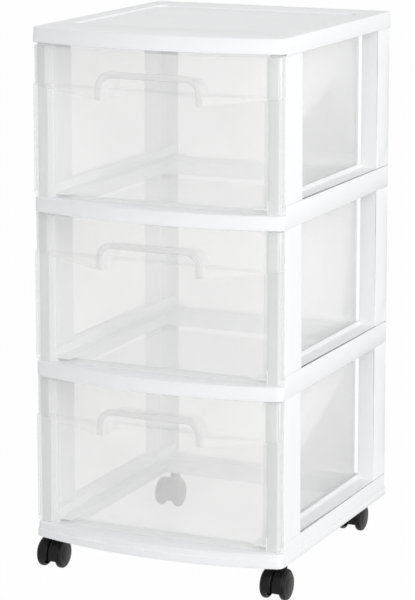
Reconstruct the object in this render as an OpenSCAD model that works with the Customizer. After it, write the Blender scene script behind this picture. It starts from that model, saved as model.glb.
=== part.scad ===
// Three-drawer plastic tower on swivel casters.
// X runs to the right, Y to the back and Z up, in millimetres.
// The origin is on the floor, under the middle of the overall box.

/* [Tower] */
// Width of the frame across its side faces
body_w = 321; // [300:1:400]
// Depth from the front corners to the back face
corner_d = 343; // [320:1:420]
// How far the front bows out past its corners
bow = 25; // [15:1:35]
// Height of one drawer tier
tier_h = 200; // [180:1:240]
// Radius of the front corners in plan
front_r = 9; // [6:1:12]
// Radius of the back corners in plan
back_r = 6; // [4:1:10]
// Wall thickness of the frame mouldings
wall = 2.2; // [1.8:0.1:3]
// How far the foot of the base flares out all round
base_flare = 1.5; // [0.5:0.1:3]
// Height of the flared foot
flare_h = 9; // [6:1:12]

/* [Rails] */
// Height of the bowed front rail
front_rail_h = 17; // [15:1:20]
// Depth of the front rail behind the corners
front_rail_d = 34; // [26:1:40]
// Height of the side rail's outer band
side_band_h = 28; // [26:1:34]
// Width of the side rail, which is also the depth of a post
side_rail_w = 22; // [20:1:28]
// Height of the guide wall that keeps a drawer straight
guide_h = 33; // [31:1:40]
// Height of the runner that a drawer slides on
runner_z = 23; // [21:1:25]
// Width of the runner
runner_w = 18; // [12:1:24]
// Height of the rear rail
rear_rail_h = 20; // [16:1:24]
// Depth of the rear rail
rear_rail_d = 30; // [24:1:36]

/* [Posts] */
// Distance of the front post behind the corners
post_gap = 9.5; // [8:0.5:12]
// Depth of the front post, front to back
front_post_d = 48.5; // [40:0.5:60]
// Depth of the rear post, front to back
rear_post_d = 43; // [36:1:50]
// Width of the rear post's back flange
rear_flange_w = 29; // [26:1:40]
// Height of the tongue that plugs into the moulding above
tongue_h = 11; // [8:1:12]
// Length of tongue that is joined to its post
tongue_root = 12; // [8:1:20]
// How far a post's outer face leans in over its height
post_lean = 1; // [0.5:0.1:2]
// Radius of the front post's outer corner
post_r = 4.5; // [3:0.5:6]

/* [Top panel] */
// Height of the top panel's skirt
top_h = 20; // [16:1:26]
// How much shorter the skirt is along the front
skirt_gap = 2.2; // [1:0.1:4]
// Rim width at the sides
rim_side = 24; // [16:1:30]
// Rim width at the front, behind the corners
rim_front = 56; // [36:1:64]
// Rim width at the back
rim_back = 46; // [36:1:60]
// Depth of the recess inside the rim
recess = 2.5; // [1.5:0.5:5]
// Corner radius of the recess
recess_r = 14; // [8:1:24]
// Thickness of a stiffening rib under the panel
rib_t = 1.8; // [1.5:0.1:2.5]
// Height of a stiffening rib
rib_h = 8; // [5:1:12]

/* [Drawers] */
// Wall thickness of a drawer
drawer_wall = 2; // [1.6:0.1:2.6]
// Gap between a drawer front and the rails above and below it
front_gap = 1.2; // [1:0.1:3]
// Depth of the flange round the sides of a drawer front
front_flange = 9; // [6:0.5:9]
// Length of the drawer box behind the corners
box_l = 305; // [260:1:306]
// Gap between the drawer box and its guide walls
side_gap = 0.6; // [0.4:0.1:1.5]
// How far the drawer box stays below the rail above it
box_drop = 4; // [3:0.5:8]
// Width of the lip round the top of the drawer box
box_lip = 2; // [1:0.1:2.2]
// Radius of the drawer box's rear corners
box_r = 10; // [6:1:16]
// Height of the ledge where the bowed band meets the flat panel
ledge_z = 152; // [140:1:160]
// Depth of the band's skirt below the ledge, at the handle
skirt_drop = 12; // [6:1:16]
// Width of the finger recess
pull_w = 122; // [100:1:150]
// Height of the finger recess above the ledge
pull_h = 16; // [10:1:20]
// Corner radius of the finger recess
pull_r = 15; // [10:1:18]
// Depth of the finger recess behind the flat panel
pull_back = 8; // [5:0.5:12]
// Radius of the drawer front's lower corners
lower_r = 6; // [3:1:10]
// Radius of the moulding marks under the drawer floor
mark_r = 5; // [3:0.5:8]
// Thickness of the moulding marks
mark_t = 0.5; // [0.3:0.1:0.8]
// Distance of the moulding marks from the middle
mark_x = 78; // [20:1:100]
// Distance of the moulding marks from the ends of the drawer box
mark_y = 40; // [40:1:80]

/* [Casters] */
// Height of the base above the floor
ride_h = 42.5; // [41:0.5:46]
// Wheel radius
wheel_r = 17.5; // [16:0.5:18]
// Tread width of a wheel
wheel_w = 7.5; // [7:0.5:10]
// Radius of a tread's rounded edges
tread_r = 2.8; // [2:0.1:3]
// How far the side of a wheel domes out past its tread
dome = 1.8; // [1:0.1:3]
// Gap between the two wheels of a caster
wheel_gap = 16.5; // [14:0.5:18]
// Axle radius
axle_r = 2.5; // [2:0.1:3]
// Running clearance of wheels and swivels
run_gap = 0.05; // [0.02:0.01:0.1]
// Distance of the swivel behind the axle
trail = 15; // [14:0.5:17]
// Thickness of the hood's cover over the wheels
hood_t = 1.5; // [1.2:0.1:1.6]
// Gap between the cover and the wheels
hood_gap = 0.6; // [0.5:0.1:1]
// Radius of the cover's rounded edges
lobe_r = 2.5; // [2:0.1:3]
// Width of the valley's floor between the two halves of the cover
valley_w = 1.5; // [1:0.5:3]
// Depth of the valley
valley_d = 3.5; // [3:0.1:4.5]
// Radius of the web below the axle
web_r = 11.5; // [10.5:0.1:13]
// Radius of the stem
stem_r = 4; // [3.5:0.1:4]
// Radius of the socket that holds a stem
socket_r = 7.5; // [6.5:0.5:8]
// How far a stem reaches down below the base
stem_reach = 17; // [15:0.5:18]
// Height of the stem's grip ring above the base's lower edge
ring_up = 11; // [8:0.5:12]
// Distance of the front stems from the side faces
front_stem_x = 13; // [11:0.5:15]
// Distance of the rear stems from the side faces
rear_stem_x = 32; // [28:0.5:36]
// Distance of the front stems behind the corners
front_stem_y = 32.5; // [26:0.5:36]
// Distance of the rear stems from the back face
rear_stem_y = 18; // [16:0.5:26]

/* [Hidden] */

$fn = 64;
// Overlap of cutters and joined blocks
eps = 0.05;
// Clearance between mouldings that seat on each other
seat = 0.3;
// Radius of the rear post's front corner
rear_post_r = 1.5;

half_w = body_w / 2;
// The origin lies midway between the front of the bow and the back face
y_front = -(corner_d - bow) / 2;
y_back = y_front + corner_d;
arc_r = (half_w * half_w + bow * bow) / (2 * bow);
arc_y = y_front - bow + arc_r;
front_steps = 28;
corner_steps = 6;

post_x = half_w - side_rail_w;
post_h = tier_h;
guide_x = post_x - wall;
front_post_y = y_front + post_gap;
rear_post_y = y_back - rear_post_d;
tier_z = [for (i = [0:2]) ride_h + i * tier_h];
top_z = ride_h + 3 * tier_h;

box_half = guide_x - side_gap;
box_z = runner_z + seat;
box_top = tier_h - box_drop;
front_z = front_rail_h + front_gap;
front_top = tier_h - front_gap;
front_inset = 0.5;
pull_top = ledge_z + pull_h;
pull_y = y_front + pull_back;
skirt_z = ledge_z - skirt_drop;

hub_w = 3;
axle_z = wheel_r;
wheel_x = wheel_gap / 2;
web_half = wheel_x - seat;
wheel_out = wheel_x + wheel_w;
cover_in = wheel_r + hood_gap;
cover_out = cover_in + hood_t;
// The cover leaves the outer edge of the tread bare
cover_half = wheel_out - tread_r + 1;
// The cover's lower edge at the front and the back
cover_low = axle_z - wheel_r / 3;
collar_t = 0.8;
collar_r = stem_r + 2;
stem_in = runner_z - wall - 1;
stem_low = ride_h - stem_reach;
hood_top = ride_h - collar_t - seat;
boss_r = stem_r + 2.6;
ring_z = ride_h + ring_up;
ring_h = 2;
ring_depth = 0.8;
ring_slit = 1;

white = [0.96, 0.97, 0.98];
clear = [0.88, 0.9, 0.92, 0.5];
black = [0.06, 0.06, 0.07];
steel = [0.7, 0.7, 0.72];

// ---- plan outline ------------------------------------------------------

// Points of an arc about c, from angle a to b, counted from the -Y direction
function arc_pts(c, r, a, b, n) =
  [for (i = [0:n]) let (t = a + (b - a) * i / n) [c[0] + r * sin(t), c[1] - r * cos(t)]];

// Outline of the tower in plan, drawn in by t on every side
function plan_pts(t) =
  let (
    h = half_w - t,
    rf = max(front_r - t, 1),
    rb = max(back_r - t, 1),
    ra = arc_r - t,
    fx = h - rf,
    fy = arc_y - sqrt((ra - rf) * (ra - rf) - fx * fx),
    a = atan2(fx, arc_y - fy),
    right = concat(
      arc_pts([fx, fy], rf, a, 90, corner_steps),
      arc_pts([h - rb, y_back - t - rb], rb, 90, 180, corner_steps)
    ),
    left = [for (i = [len(right) - 1:-1:0]) [-right[i][0], right[i][1]]]
  )
  concat(arc_pts([0, arc_y], ra, -a + 1, a - 1, front_steps), right, left);

module plan(t) {
  polygon(plan_pts(t));
}

// A wall that follows the outline, between insets t0 and t1
module plan_wall(t0, t1, z0, z1) {
  translate([0, 0, z0])
    linear_extrude(z1 - z0)
      difference() {
        plan(t0);
        plan(t1);
      }
}

// A box from its lowest to its highest corner
module block(a, b) {
  translate(a)
    cube(b - a);
}

// A shape drawn in X and Z, pushed from y0 to y1
module slab(y0, y1) {
  translate([0, y1, 0])
    rotate([90, 0, 0])
      linear_extrude(y1 - y0)
        children();
}

// The same thing on both sides of the tower
module both_sides() {
  children();
  mirror([1, 0, 0])
    children();
}

// ---- frame mouldings ---------------------------------------------------

// A post's outside in plan, between y0 and y1, drawn in by t, with its front corner rounded by r
module post_plan(y0, y1, t, r) {
  x = half_w - t;
  intersection() {
    plan(t);
    union() {
      translate([post_x, y0 + r])
        square([x - post_x, y1 - y0 - r]);
      translate([post_x, y0])
        square([x - r - post_x, y1 - y0]);
      translate([x - r, y0 + r])
        circle(r);
    }
  }
}

// A post is a channel that opens inwards
module post_section(y0, y1, r) {
  difference() {
    post_plan(y0, y1, 0, r);
    post_plan(y0 + wall, y1 - wall, wall + post_lean, max(r - wall, 1));
  }
}

module post(y0, y1, r) {
  z0 = side_band_h - wall;
  intersection() {
    translate([0, 0, z0])
      linear_extrude(post_h - z0)
        post_section(y0, y1, r);
    slab(y0 - 1, y1 + 1)
      polygon([[0, z0], [half_w, z0], [half_w - post_lean, post_h], [0, post_h]]);
  }
}

// The tongue stands inside the post's top and plugs into the moulding above
module tongue(y0, y1) {
  x1 = half_w - wall;
  z1 = post_h + tongue_h;
  block([x1 - wall - seat, y0 + wall, post_h - tongue_root], [x1 + eps, y1 - wall, post_h]);
  block([x1 - wall - seat, y0 + wall, post_h - tongue_root], [x1 - seat, y1 - wall, z1]);
}

module side_rail() {
  // Outer band, round the back corner too, and shelf
  intersection() {
    plan_wall(0, wall, 0, side_band_h);
    block([half_w - rear_flange_w, front_post_y, -1], [half_w + 1, y_back + 1, side_band_h + 1]);
  }
  block([guide_x, front_post_y, side_band_h - wall], [half_w - wall / 2, y_back - wall / 2, side_band_h]);
  // Front end of the hollow under the shelf, level with the front of the post
  block([guide_x, front_post_y, front_rail_h - wall], [half_w - wall / 2, front_post_y + wall, side_band_h]);
  // Guide wall beside the drawer
  block([guide_x, front_post_y, 0], [post_x, y_back, guide_h]);
  // Runner under the drawer
  block([guide_x - runner_w, front_post_y, runner_z - wall], [post_x, y_back - wall, runner_z]);
}

module front_rail() {
  translate([0, 0, front_rail_h - wall])
    linear_extrude(wall)
      intersection() {
        plan(0);
        translate([-half_w, y_front - bow])
          square([body_w, bow + front_rail_d]);
      }
  y1 = y_front + front_rail_d;
  block([-post_x, y1 - wall, 0], [post_x, y1, front_rail_h]);
}

module rear_rail() {
  y0 = y_back - rear_rail_d;
  block([-post_x, y0, rear_rail_h - wall], [post_x, y_back - eps, rear_rail_h]);
  block([-post_x, y0, 0], [post_x, y0 + wall, rear_rail_h]);
  block([-post_x, y_back - wall, 0], [post_x, y_back, rear_rail_h]);
}

// One tier: a ring of rails and the four posts that stand on it
module tier_frame() {
  plan_wall(0, wall, 0, front_rail_h);
  front_rail();
  rear_rail();
  both_sides() {
    side_rail();
    post(front_post_y, front_post_y + front_post_d, post_r);
    post(rear_post_y, y_back, rear_post_r);
    tongue(front_post_y, front_post_y + front_post_d);
    tongue(rear_post_y, y_back - back_r);
    block([half_w - rear_flange_w, y_back - wall, rear_rail_h - wall], [half_w - back_r, y_back, post_h]);
  }
}

// The sockets that take the caster stems: the front ones hang from the shelf, the rear ones
// from the runner
module stem_sockets() {
  for (c = corners)
    translate(stem_place(c))
      cylinder(h = (c[1] == 0 ? side_band_h : runner_z) - wall + eps, r = socket_r);
}

module stem_bores() {
  for (c = corners)
    translate(stem_place(c) - [0, 0, eps])
      cylinder(h = stem_in + eps, r = stem_r);
}

module lower_moulding() {
  difference() {
    union() {
      tier_frame();
      plan_wall(-base_flare, wall, 0, flare_h);
      stem_sockets();
    }
    stem_bores();
  }
}

module recess_outline(inset) {
  x = half_w - rim_side - inset;
  y0 = y_front + rim_front + inset;
  y1 = y_back - rim_back - inset;
  r = recess_r - inset;
  for (sx = [-1, 1], y = [y0 + r, y1 - r])
    translate([sx * (x - r), y])
      circle(r);
  translate([-x, y0 + r])
    square([2 * x, y1 - y0 - 2 * r]);
  translate([-x + r, y0])
    square([2 * x - 2 * r, y1 - y0]);
}

module top_moulding() {
  // Skirt, which stays clear of the drawer along the front, and rim
  difference() {
    plan_wall(0, wall, 0, top_h);
    block([-half_w - 1, y_front - bow - 1, -1], [half_w + 1, front_post_y, skirt_gap]);
  }
  translate([0, 0, top_h - wall])
    linear_extrude(wall)
      difference() {
        plan(0);
        recess_outline(0);
      }
  // Wall and floor of the recess
  translate([0, 0, top_h - recess - wall])
    linear_extrude(recess + wall)
      difference() {
        recess_outline(-wall);
        recess_outline(0);
      }
  translate([0, 0, top_h - recess - wall])
    linear_extrude(wall)
      recess_outline(-eps);
  // Ribs under the floor
  rib_z = top_h - recess - wall;
  rib_y0 = y_front + rim_front;
  rib_y1 = y_back - rim_back;
  for (i = [1:3]) {
    y = rib_y0 + (rib_y1 - rib_y0) * i / 4;
    block([-half_w + rim_side, y, rib_z - rib_h], [half_w - rim_side, y + rib_t, rib_z + eps]);
  }
}

// ---- drawers -----------------------------------------------------------

// The finger recess seen from the front, grown by g
module pull_outline(g) {
  w = pull_w / 2 + g;
  z = pull_top + g;
  r = pull_r + g;
  for (s = [-1, 1])
    translate([s * (w - r), z - r])
      circle(r);
  translate([-w, skirt_z])
    square([2 * w, z - r - skirt_z]);
  translate([-w + r, skirt_z])
    square([2 * w - 2 * r, z - skirt_z]);
}

// The outline of the flat lower panel
module panel_outline() {
  h = half_w - front_inset;
  for (s = [-1, 1])
    translate([s * (h - lower_r), front_z + lower_r])
      circle(lower_r);
  translate([-h, front_z + lower_r])
    square([2 * h, ledge_z - front_z - lower_r]);
  translate([-h + lower_r, front_z])
    square([2 * h - 2 * lower_r, ledge_z - front_z]);
}

// The bowed band seen from the front, with its drooping skirt
module band_outline() {
  h = half_w;
  w = pull_w / 2;
  polygon([
    [-h, front_top], [-h, ledge_z], [-(h + w) / 2, (ledge_z + skirt_z) / 2], [-w, skirt_z],
    [w, skirt_z], [(h + w) / 2, (ledge_z + skirt_z) / 2], [h, ledge_z], [h, front_top]
  ]);
}

module drawer_front() {
  t0 = front_inset;
  t1 = front_inset + drawer_wall;
  y1 = y_front + front_flange;
  y_bow = y_front - bow;
  // Flat lower panel
  slab(y_front, y_front + drawer_wall)
    panel_outline();
  // Floor and back wall of the finger recess
  pull_x = pull_w / 2 + drawer_wall;
  block([-pull_x, y_front, ledge_z - drawer_wall], [pull_x, pull_y + drawer_wall, ledge_z]);
  difference() {
    slab(pull_y, pull_y + drawer_wall)
      pull_outline(drawer_wall);
    block([-half_w, pull_y - 1, 0], [half_w, pull_y + drawer_wall + 1, ledge_z - drawer_wall]);
  }
  // Bowed band
  difference() {
    intersection() {
      plan_wall(t0, t1, skirt_z, front_top);
      slab(y_bow, y1)
        band_outline();
    }
    slab(y_bow - 1, y_front)
      pull_outline(0);
  }
  // Ledge between the band and the panel
  translate([0, 0, ledge_z])
    linear_extrude(drawer_wall)
      difference() {
        intersection() {
          plan(t0);
          translate([-half_w, y_bow])
            square([body_w, bow + drawer_wall]);
        }
        translate([-pull_w / 2, y_bow])
          square([pull_w, bow + drawer_wall + 1]);
      }
  // Roof and sides of the finger recess
  difference() {
    intersection() {
      translate([0, 0, skirt_z])
        linear_extrude(tier_h)
          plan(t0);
      slab(y_bow, pull_y + eps)
        difference() {
          pull_outline(drawer_wall);
          pull_outline(0);
        }
    }
    block([-half_w, y_front + drawer_wall / 2, 0], [half_w, pull_y + drawer_wall, ledge_z - drawer_wall]);
  }
  // Side flanges in front of the posts
  both_sides()
    block([half_w - t1, y_front + lower_r, front_z + lower_r], [half_w - t0, y1, ledge_z + eps]);
  both_sides()
    block([half_w - t1, y_front, front_z + lower_r], [half_w - t0, y_front + lower_r + eps, ledge_z + eps]);
}

// The drawer box in plan, drawn in by t at the sides and the back
module box_plan(t) {
  x = box_half - t;
  y = y_front + box_l - t;
  r = box_r - t;
  translate([-x, y_front])
    square([2 * x, y - r - y_front]);
  translate([-x + r, y_front])
    square([2 * x - 2 * r, y - y_front]);
  for (s = [-1, 1])
    translate([s * (x - r), y - r])
      circle(r);
}

module drawer_box() {
  y1 = y_front + box_l;
  // Floor
  translate([0, 0, box_z])
    linear_extrude(drawer_wall)
      box_plan(0);
  // Sides and back, with the lip round their top
  translate([0, 0, box_z])
    linear_extrude(box_top - box_z)
      difference() {
        box_plan(0);
        box_plan(drawer_wall);
      }
  translate([0, 0, box_top - drawer_wall])
    linear_extrude(drawer_wall)
      difference() {
        box_plan(-box_lip);
        box_plan(drawer_wall);
      }
  // The sides reach forward to the band above the ledge
  both_sides()
    intersection() {
      block([box_half - drawer_wall, y_front - bow, ledge_z], [box_half, y_front + eps, box_top]);
      linear_extrude(tier_h)
        plan(front_inset);
    }
  // Moulding marks under the floor
  for (x = [-mark_x, mark_x], y = [y_front + mark_y, y1 - mark_y])
    translate([x, y, box_z - mark_t])
      cylinder(h = mark_t + eps, r = mark_r);
}

module drawer(z) {
  color(clear)
    translate([0, 0, z]) {
      drawer_front();
      drawer_box();
    }
}

// ---- casters -----------------------------------------------------------

// Each corner is a side, -1 left or 1 right, and an end, 0 front or 1 rear
corners = [for (e = [0, 1], s = [-1, 1]) [s, e]];
front_left = [-1, 0];
front_right = [1, 0];
rear_left = [-1, 1];
rear_right = [1, 1];

// The foot of a stem, in the base's own height
function stem_place(c) = [
  c[0] * (half_w - (c[1] == 0 ? front_stem_x : rear_stem_x)),
  c[1] == 0 ? y_front + front_stem_y : y_back - rear_stem_y,
  0
];

// Draws its children about the swivel of corner c
module at_stem(c) {
  translate(stem_place(c))
    children();
}

// Draws its children about the axle of corner c, with the axle along Z
module at_axle(c) {
  translate(stem_place(c) + [0, -trail, axle_z])
    rotate([0, 90, 0])
      children();
}

module stem(c) {
  color(steel)
    at_stem(c)
      difference() {
        union() {
          translate([0, 0, stem_low])
            cylinder(h = ride_h + stem_in - 1 - stem_low, r = stem_r);
          translate([0, 0, ride_h - collar_t])
            cylinder(h = collar_t, r = collar_r);
        }
        translate([0, 0, ring_z])
          difference() {
            cylinder(h = ring_h, r = stem_r + 1);
            translate([0, 0, -eps])
              cylinder(h = ring_h + 2 * eps, r = stem_r - ring_depth);
          }
      }
}

module grip_ring(c) {
  at_stem(c)
    translate([0, 0, ring_z])
      difference() {
        cylinder(h = ring_h, r = stem_r);
        translate([0, 0, -eps])
          cylinder(h = ring_h + 2 * eps, r = stem_r - ring_depth);
        translate([0, -ring_slit / 2, -eps])
          cube([stem_r + 1, ring_slit, ring_h + 2 * eps]);
      }
}

// The hood's half section, from its middle outwards along Z
module hood_half() {
  y0 = valley_w / 2;
  square([cover_out - valley_d, cover_half]);
  translate([0, y0])
    square([cover_out - lobe_r, cover_half - y0]);
  translate([0, y0 + lobe_r])
    square([cover_out, cover_half - y0 - 2 * lobe_r]);
  for (y = [y0 + lobe_r, cover_half - lobe_r])
    translate([cover_out - lobe_r, y])
      circle(lobe_r);
}

// Room for a wheel beside the web
module wheel_room() {
  translate([-1, web_half])
    square([cover_in + 1, cover_half]);
}

// Two rounded lobes over the treads, joined by the web that carries the axle
module hood_turned() {
  rotate_extrude()
    difference() {
      for (s = [0, 1])
        mirror([0, s])
          hood_half();
      for (s = [0, 1])
        mirror([0, s])
          wheel_room();
    }
}

module hood(c) {
  color(black)
    difference() {
      union() {
        at_axle(c)
          hood_turned();
        // Boss round the stem
        at_stem(c)
          translate([0, 0, stem_low - 2])
            cylinder(h = hood_top - stem_low + 2, r = boss_r);
      }
      // Open below, where only the web's disc is left
      difference() {
        at_stem(c)
          block([-cover_half - 1, -trail - cover_out - 1, axle_z - cover_out - 1],
                [cover_half + 1, -trail + cover_out + 1, cover_low]);
        at_axle(c)
          translate([0, 0, -web_half])
            cylinder(h = 2 * web_half, r = web_r);
      }
      // Running room for the wheels beside the boss
      at_axle(c)
        for (z = [-cover_half - 1, web_half])
          translate([0, 0, z])
            cylinder(h = cover_half + 1 - web_half, r = cover_in);
      // Bores for the axle and the stem
      at_axle(c)
        translate([0, 0, -web_half - 1])
          cylinder(h = 2 * web_half + 2, r = axle_r);
      at_stem(c)
        translate([0, 0, stem_low - seat])
          cylinder(h = ride_h - stem_low, r = stem_r + run_gap);
    }
}

module axle(c) {
  color(steel)
    at_axle(c)
      translate([0, 0, -wheel_out + hub_w])
        cylinder(h = 2 * (wheel_out - hub_w), r = axle_r);
}

// A wheel's half section, from its inner face at 0 outwards along Z
module wheel_section() {
  r0 = axle_r + run_gap;
  deep = wheel_w - hub_w + seat;
  side_r = wheel_r - tread_r;
  difference() {
    union() {
      square([side_r, wheel_w]);
      translate([0, tread_r])
        square([wheel_r, wheel_w - 2 * tread_r]);
      for (y = [tread_r, wheel_w - tread_r])
        translate([side_r, y])
          circle(tread_r);
      // Domed side
      intersection() {
        dr = (side_r * side_r + dome * dome) / (2 * dome);
        translate([0, wheel_w + dome - dr])
          circle(dr);
        translate([0, wheel_w - eps])
          square([side_r, dome + eps]);
      }
    }
    translate([-1, -1])
      square([1 + r0, 1 + deep]);
    // Hollow behind the tread
    translate([r0 + hub_w, -1])
      square([wheel_r - r0 - 2 * hub_w, 1 + wheel_w - hub_w]);
  }
}

// side is 1 for the wheel on the right of the caster and -1 for the left
module wheel(c, side) {
  color(black)
    translate(stem_place(c) + [side * wheel_x, -trail, axle_z])
      rotate([0, side * 90, 0])
        rotate_extrude()
          intersection() {
            wheel_section();
            square([wheel_r + 1, wheel_w + dome + 1]);
          }
}

// ---- one module per sub-part -------------------------------------------

module top_panel() {
  color(white)
    translate([0, 0, top_z])
      top_moulding();
}

module upper_frame() {
  color(white)
    translate([0, 0, tier_z[2]])
      tier_frame();
}

module middle_frame() {
  color(white)
    translate([0, 0, tier_z[1]])
      tier_frame();
}

module lower_frame() {
  color(white)
    translate([0, 0, tier_z[0]])
      lower_moulding();
}

module upper_drawer() drawer(tier_z[2]);
module middle_drawer() drawer(tier_z[1]);
module lower_drawer() drawer(tier_z[0]);

module stem_front_left() stem(front_left);
module stem_front_right() stem(front_right);
module stem_rear_left() stem(rear_left);
module stem_rear_right() stem(rear_right);

module stem_grip_rings() {
  color(steel)
    for (c = corners)
      grip_ring(c);
}

module hood_front_left() hood(front_left);
module hood_front_right() hood(front_right);
module hood_rear_left() hood(rear_left);
module hood_rear_right() hood(rear_right);

module axle_front_left() axle(front_left);
module axle_front_right() axle(front_right);
module axle_rear_left() axle(rear_left);
module axle_rear_right() axle(rear_right);

// The outer wheel is the one towards the outside of the tower
module wheel_front_left_outer() wheel(front_left, -1);
module wheel_front_left_inner() wheel(front_left, 1);
module wheel_front_right_outer() wheel(front_right, 1);
module wheel_front_right_inner() wheel(front_right, -1);
module wheel_rear_left_outer() wheel(rear_left, -1);
module wheel_rear_left_inner() wheel(rear_left, 1);
module wheel_rear_right_outer() wheel(rear_right, 1);
module wheel_rear_right_inner() wheel(rear_right, -1);

top_panel();
upper_frame();
middle_frame();
lower_frame();
upper_drawer();
middle_drawer();
lower_drawer();
stem_front_left();
stem_front_right();
stem_rear_left();
stem_rear_right();
stem_grip_rings();
hood_front_left();
hood_front_right();
hood_rear_left();
hood_rear_right();
axle_front_left();
axle_front_right();
axle_rear_left();
axle_rear_right();
wheel_front_left_outer();
wheel_front_left_inner();
wheel_front_right_outer();
wheel_front_right_inner();
wheel_rear_left_outer();
wheel_rear_left_inner();
wheel_rear_right_outer();
wheel_rear_right_inner();
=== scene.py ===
"""A three-drawer plastic tower on swivel casters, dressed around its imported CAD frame.

Every length in the file is in metres, in the part's own frame: X to the right, Y to the back,
Z up, with the origin on the floor under the middle of the overall box.
"""

import logging
import math
from dataclasses import dataclass, field, replace
from enum import Enum, IntEnum

import bmesh
import bpy
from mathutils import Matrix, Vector
from mathutils.bvhtree import BVHTree


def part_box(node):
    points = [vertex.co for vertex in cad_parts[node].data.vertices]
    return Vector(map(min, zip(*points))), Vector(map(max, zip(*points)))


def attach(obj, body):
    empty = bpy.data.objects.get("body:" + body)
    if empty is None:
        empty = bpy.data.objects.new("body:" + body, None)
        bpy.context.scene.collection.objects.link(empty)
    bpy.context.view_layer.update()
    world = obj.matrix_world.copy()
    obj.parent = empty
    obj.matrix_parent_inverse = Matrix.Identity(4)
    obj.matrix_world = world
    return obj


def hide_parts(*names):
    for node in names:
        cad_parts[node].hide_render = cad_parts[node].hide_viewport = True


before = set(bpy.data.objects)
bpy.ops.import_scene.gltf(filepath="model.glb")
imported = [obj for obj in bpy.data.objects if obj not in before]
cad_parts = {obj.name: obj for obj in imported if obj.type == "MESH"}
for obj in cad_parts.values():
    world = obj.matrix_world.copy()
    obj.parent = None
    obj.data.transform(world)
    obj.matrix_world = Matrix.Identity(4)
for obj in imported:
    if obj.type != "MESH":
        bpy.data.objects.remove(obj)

log = logging.getLogger("drawer_tower")
Point = tuple[float, float, float]
MM = 0.001
UP: Point = (0.0, 0.0, 1.0)
FORWARDS: Point = (0.0, -1.0, 0.0)

# Points closer than this are one point, in a CAD mesh, in a swept or cut one and in a turned one
CAD_WELD = 0.002 * MM
FINE_WELD = 0.001 * MM
TURNED_WELD = 0.0005 * MM
# Faces that meet at less than this are one plane, and edges at more than these stay sharp
SAME_PLANE = math.radians(0.4)
MOULDED_EDGE = math.radians(32)
TURNED_EDGE = math.radians(40)
# A rounded edge stays within this share of its radius from the sharp surface
BEVEL_SHARE = 0.45
# Sides of the polygon that stands for a round section
ROUND_SIDES = 14
# Nearly all the values of a noise texture lie between these two
NOISE_LOW, NOISE_HIGH = 0.3, 0.7
LEAST_ROUGHNESS = 0.02
# The power in Schlick's estimate of how much a surface mirrors
SCHLICK_POWER = 5.0
WHITE = "#FFFFFF"


# ---- shared helpers --------------------------------------------------------------------


def linear(code: str) -> tuple[float, float, float, float]:
    """Turn an sRGB hex colour into linear light.

    Args:
        code: the colour, such as "#F4F6F8".

    Returns:
        Red, green, blue and an alpha of 1 for a colour socket.
    """
    parts = [int(code[i : i + 2], 16) / 255 for i in (1, 3, 5)]
    # The curve and its numbers are the sRGB standard's
    red, green, blue = (
        c / 12.92 if c <= 0.04045 else ((c + 0.055) / 1.055) ** 2.4 for c in parts
    )
    return red, green, blue, 1.0


def grain(size_mm: float) -> float:
    """Return the texture scale whose features are size_mm across."""
    return 1 / (size_mm * MM)


def add(
    tree: bpy.types.NodeTree, kind: str, ins: dict | None = None, **settings: object
) -> bpy.types.Node:
    """Add one node with its settings, values and links.

    Args:
        tree: the shader or geometry tree.
        kind: the node's type name.
        ins: input name or index to a value, or to the socket that feeds it.
        settings: attributes to set on the node.

    Returns:
        The new node.
    """
    made = tree.nodes.new(kind)
    for key, value in settings.items():
        setattr(made, key, value)
    for key, value in (ins or {}).items():
        if isinstance(value, bpy.types.NodeSocket):
            tree.links.new(value, made.inputs[key])
        else:
            made.inputs[key].default_value = value
    return made


def link_object(name: str, mesh: bpy.types.Mesh) -> bpy.types.Object:
    """Put a mesh in the scene as an object at the origin."""
    made = bpy.data.objects.new(name, mesh)
    bpy.context.scene.collection.objects.link(made)
    return made


def baked(source: bpy.types.Object, name: str) -> bpy.types.Object:
    """Turn an object with live modifiers into a plain mesh.

    Args:
        source: the object, which is removed.
        name: the new object's name.

    Returns:
        The plain object at the origin.
    """
    bpy.context.view_layer.update()
    seen = source.evaluated_get(bpy.context.evaluated_depsgraph_get())
    mesh = bpy.data.meshes.new_from_object(seen)
    mesh.name = name
    old = source.data
    bpy.data.objects.remove(source)
    if old.users == 0:
        bpy.data.meshes.remove(old)
    return link_object(name, mesh)


def merged_copy(node: str) -> bmesh.types.BMesh:
    """Copy a CAD node's mesh with its triangles joined into whole faces.

    Args:
        node: the CAD node's name.

    Returns:
        A new bmesh, which the caller frees.
    """
    shape = bmesh.new()
    shape.from_mesh(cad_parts[node].data)
    for layer in list(shape.loops.layers.uv):
        shape.loops.layers.uv.remove(layer)
    bmesh.ops.remove_doubles(shape, verts=shape.verts, dist=CAD_WELD)
    bmesh.ops.dissolve_limit(
        shape, angle_limit=SAME_PLANE, verts=shape.verts, edges=shape.edges
    )
    return shape


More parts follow.
